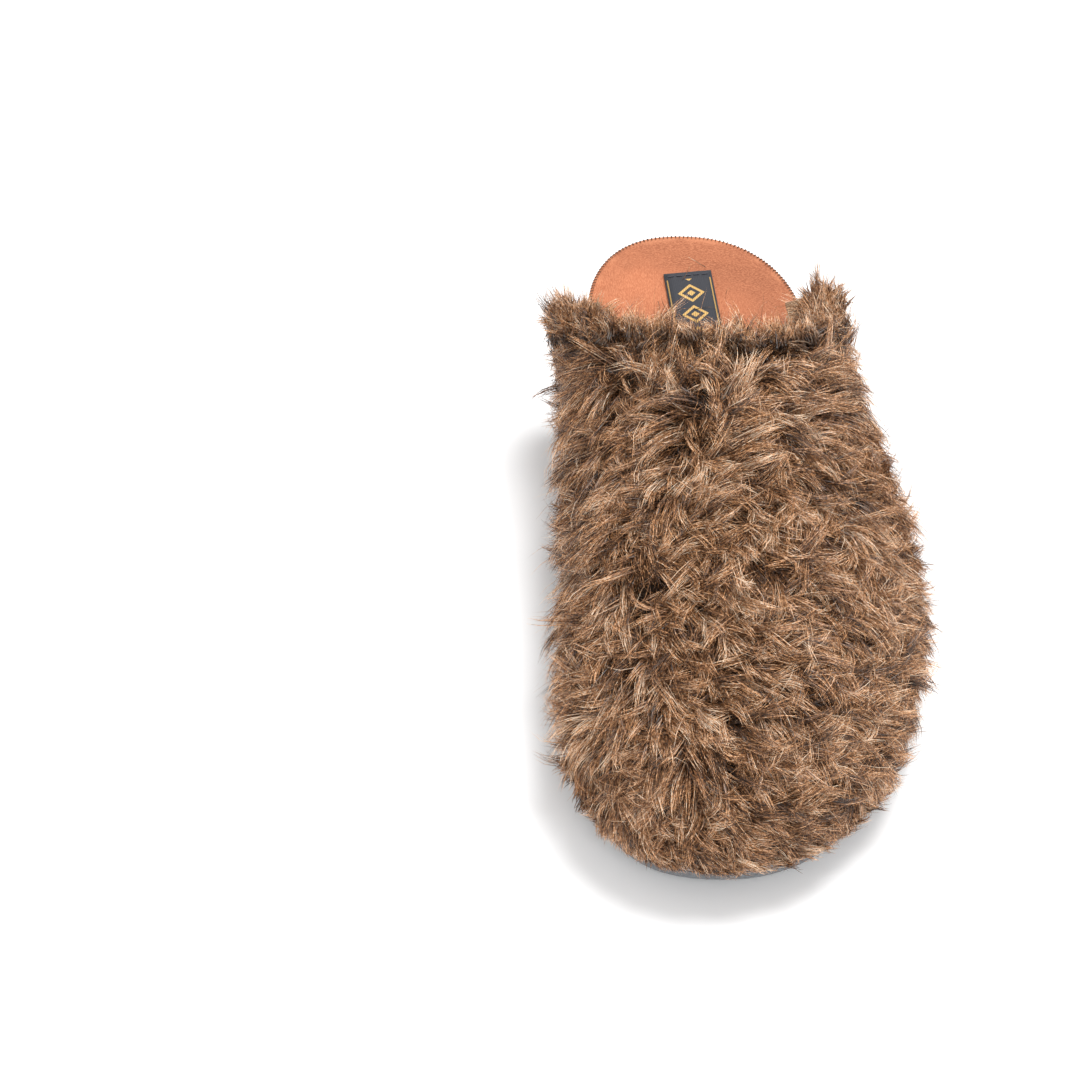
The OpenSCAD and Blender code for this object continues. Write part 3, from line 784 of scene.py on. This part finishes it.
def stitchPath():
    # the middle of each CAD stitch on the rim, in order round the heel
    bm = bmesh.new()
    bm.from_mesh(nodes["footbed_edge_stitching"].data)
    bmesh.ops.remove_doubles(bm, verts=bm.verts, dist=joinDistance)
    left, middles = set(bm.verts), []
    while left:
        group, edge = set(), [left.pop()]
        while edge:
            vert = edge.pop()
            group.add(vert)
            for link in vert.link_edges:
                other = link.other_vert(vert)
                if other in left:
                    left.discard(other)
                    edge.append(other)
        points = sorted((v.co.copy() for v in group), key=tuple)
        top = max(p.z for p in points)
        far = [p for p in points if p.z > top - 0.7 * mm]
        middles.append(sum(far, Vector()) / len(far))
    bm.free()
    middles.sort(key=tuple)
    centre = sum(middles, Vector()) / len(middles)
    middles.sort(key=lambda p: (Vector((0, 1)).angle_signed((p - centre).xy)))
    return middles


def evenly(points, pitch):
    run = np.array(points)
    gone = np.concatenate([[0], np.cumsum(np.linalg.norm(np.diff(run, axis=0), axis=1))])
    at = np.arange(pitch / 2, gone[-1], pitch)
    return [Vector([np.interp(d, gone, run[:, i]) for i in range(3)]) for d in at]


def addEdgeStitches():
    # a short curved thread over the rim, repeated round the heel
    bm = bmesh.new()
    ring = bmesh.ops.create_circle(bm, segments=stitch["sides"], radius=stitch["thread"],
                                   matrix=Matrix.Translation((stitch["reach"], 0, 0)))
    bmesh.ops.spin(bm, geom=bm.edges[:] + ring["verts"], cent=(0, 0, 0), axis=(0, 1, 0),
                   angle=radians(stitch["wrap"]), steps=stitch["steps"], use_duplicate=False)
    bmesh.ops.contextual_create(bm, geom=[e for e in bm.edges if e.is_boundary])
    template = bpy.data.meshes.new("edgeStitch")
    bm.to_mesh(template)
    bm.free()
    made = bmesh.new()
    path = evenly(stitchPath(), stitch["pitch"])
    up = Vector((0, 0, 1))
    rng = np.random.default_rng(stitch["seed"])
    for i, at in enumerate(path):
        along = (path[min(i + 1, len(path) - 1)] - path[max(i - 1, 0)]).normalized()
        out = along.cross(up).normalized()
        if out.dot(at) < 0:
            out = -out
        lean = Matrix.Rotation(radians(rng.uniform(-stitch["lean"], stitch["lean"])), 3, "Z")
        basis = Matrix((out, up.cross(out), up)).transposed()
        start = at + out * stitch["stand"] - up * stitch["sink"]
        first = len(made.verts)
        made.from_mesh(template)
        made.verts.ensure_lookup_table()
        for vert in made.verts[first:]:
            vert.co = basis @ (lean @ vert.co) + start
    bmesh.ops.recalc_face_normals(made, faces=made.faces)
    addPiece("edgeStitches", made, threadPaint("edge thread", cloth["edgeThread"]),
             ("footbed_edge_stitching",))


def markRim(bm, width):
    # 1 along the outline of the suede, 0 elsewhere
    outline = np.array([v.co.xy for v in nodes["footbed_foam"].data.vertices])
    layer = bm.verts.layers.float.new("rim")
    middle = outline.mean(0)
    reach = {}
    for x, y in outline - middle:
        turn = round(np.degrees(np.arctan2(y, x)) / 4)
        reach[turn] = max(reach.get(turn, 0), np.hypot(x, y))
    for vert in bm.verts:
        x, y = vert.co.xy - Vector(middle)
        edge = reach.get(round(np.degrees(np.arctan2(y, x)) / 4), 0)
        vert[layer] = 1.0 if edge - np.hypot(x, y) < width else 0.0


def addFootbed():
    bm = mergedCopy("footbed_cover")
    roundEdges(bm, 50, 0.3 * mm)
    bmesh.ops.subdivide_edges(bm, edges=bm.edges, cuts=1, use_grid_fill=True)
    markRim(bm, 1.9 * mm)
    suede = addPiece("suedeSock", bm, suedePaint(), ("footbed_cover",), 1)
    bm = mergedCopy("footbed_foam")
    roundEdges(bm, 50, 0.5 * mm)
    foam = addPiece("footbedFoam", bm, foamRubber("footbed foam", (0.10, 0.10, 0.105), 0.15 * mm),
                    ("footbed_foam",), 1)
    addEdgeStitches()
    bm = mergedCopy("woven_label")
    bmesh.ops.subdivide_edges(bm, edges=bm.edges, cuts=5, use_grid_fill=True)
    for vert in bm.verts:
        wave = noise.noise(vert.co * 150 + Vector((3, 1, 0)))
        vert.co.z += 0.22 * mm * max(0.0, wave)
    tag = addPiece("wovenLabel", bm, labelPaint(), ("woven_label",))
    bm = mergedCopy("label_stitching")
    roundEdges(bm, 50, 0.1 * mm)
    addPiece("labelStitches", bm, threadPaint("label thread", cloth["labelThread"], 0.5),
             ("label_stitching",), 1)


def addUpper():
    bm = mergedCopy("upper_lining")
    roundEdges(bm, 50, 0.5 * mm)
    fleece = addPiece("fleeceLining", bm, fleecePaint(), ("upper_lining",), 2)
    bm = mergedCopy("upper_padding")
    roundEdges(bm, 50, 0.6 * mm)
    pad = addPiece("upperPadding", bm, fibrePaint("padding foam", cloth["padding"], 900, 0.2),
                   ("upper_padding",), 1)
    bm = mergedCopy("topline_binding")
    roundEdges(bm, 40, 0.35 * mm)
    addPiece("bindingTape", bm, clothPaint("twill tape", cloth["binding"], 420, 0.2 * mm),
             ("topline_binding",), 2)
    bm = mergedCopy("binding_stitching")
    roundEdges(bm, 40, 0.12 * mm)
    addPiece("bindingStitches", bm, threadPaint("pale thread", cloth["paleThread"]),
             ("binding_stitching",), 1)
    repaint("insole_board", fibrePaint("fibre board", cloth["board"]))
    repaint("bottom_filler", fibrePaint("felt filler", cloth["filler"], 380, 0.3))
    stiff = fibrePaint("stiffener board", cloth["stiffener"], 1100, 0.08, 0.7)
    for node in ("toe_puff", "medial_stiffener", "lateral_stiffener"):
        repaint(node, stiff)


# ---- build ----

addCamera()
addLight("overhead", studio["overhead"])
addLight("front", studio["front"])
addSky()
addFloor()
bpy.context.scene.view_settings.view_transform = "Standard"
print("studio ready")

addSole()
print("sole done")
addFootbed()
print("footbed done")
addUpper()
print("upper done")
addFur()
print("fur done")
